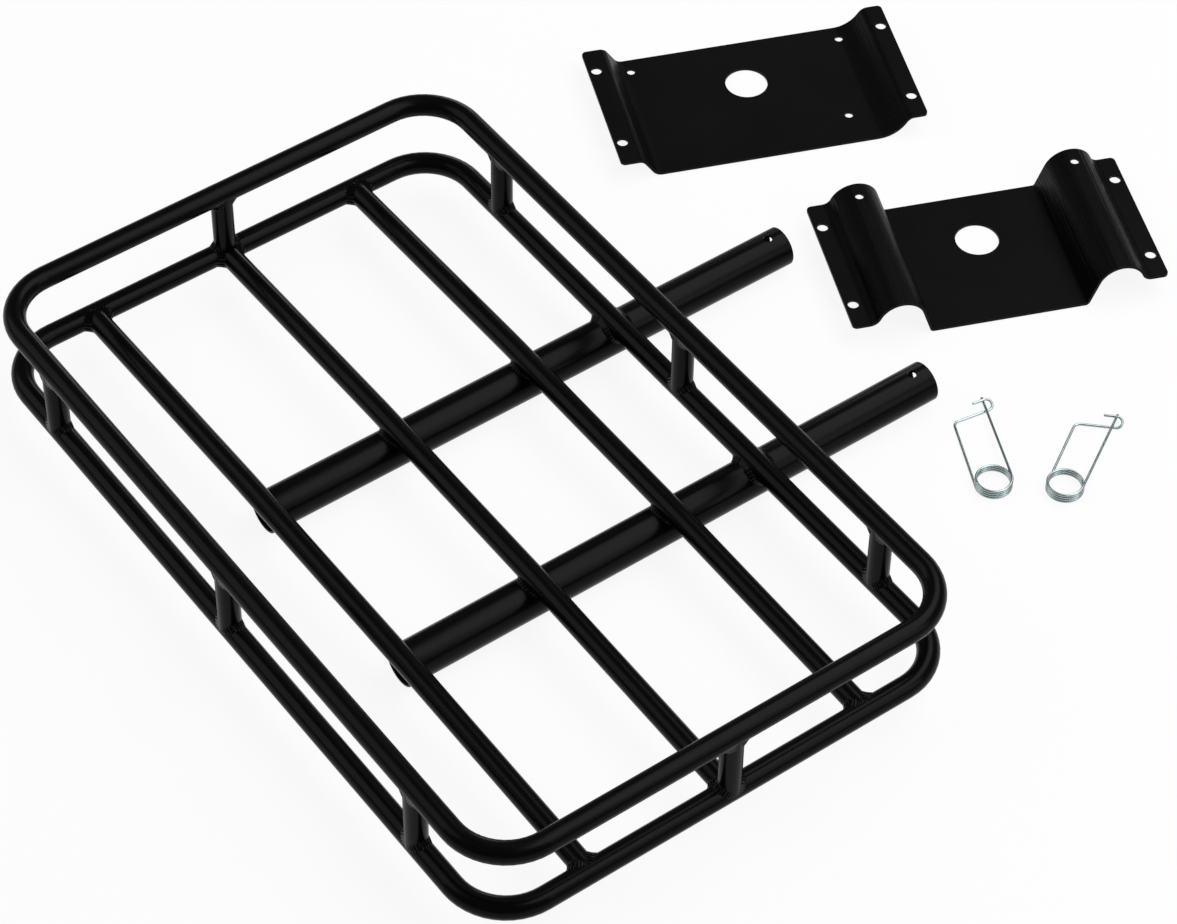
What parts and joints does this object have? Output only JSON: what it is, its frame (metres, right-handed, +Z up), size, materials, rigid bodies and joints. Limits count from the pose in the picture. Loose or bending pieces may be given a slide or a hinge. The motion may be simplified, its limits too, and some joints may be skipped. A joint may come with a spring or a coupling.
{
  "type": "hitch cargo rack",
  "caption": "Low tubular steel basket on two slide tubes for a trailer hitch, laid out with its two formed clamp plates and two wire spring clips.",
  "frame": {"origin": "middle of the kit's bounding box in plan, on the ground that the slide tubes, plates and clips lie on", "axes": "+X along the long sides of the basket, +Y along the slide tubes towards their free ends, +Z up"},
  "size_m": [0.8888, 1.0994, 0.133],
  "materials": {
    "black_powder_coat": "satin powder coat on steel",
    "zinc_wire": "bright zinc-plated spring wire"
  },
  "bodies": {
    "root": {"lower_rail": "black_powder_coat", "upper_rail": "black_powder_coat", "floor_bar_outer": "black_powder_coat", "floor_bar_middle": "black_powder_coat", "floor_bar_inner": "black_powder_coat", "post_outer_left": "black_powder_coat", "post_outer_middle": "black_powder_coat", "post_outer_right": "black_powder_coat", "post_inner_left": "black_powder_coat", "post_inner_middle": "black_powder_coat", "post_inner_right": "black_powder_coat", "post_end_left": "black_powder_coat", "post_end_right": "black_powder_coat", "slide_tube_left": "black_powder_coat", "slide_tube_right": "black_powder_coat", "upper_clamp_plate": "black_powder_coat", "lower_clamp_plate": "black_powder_coat", "spring_clip_left": "zinc_wire", "spring_clip_right": "zinc_wire"}
  },
  "joints": []
}
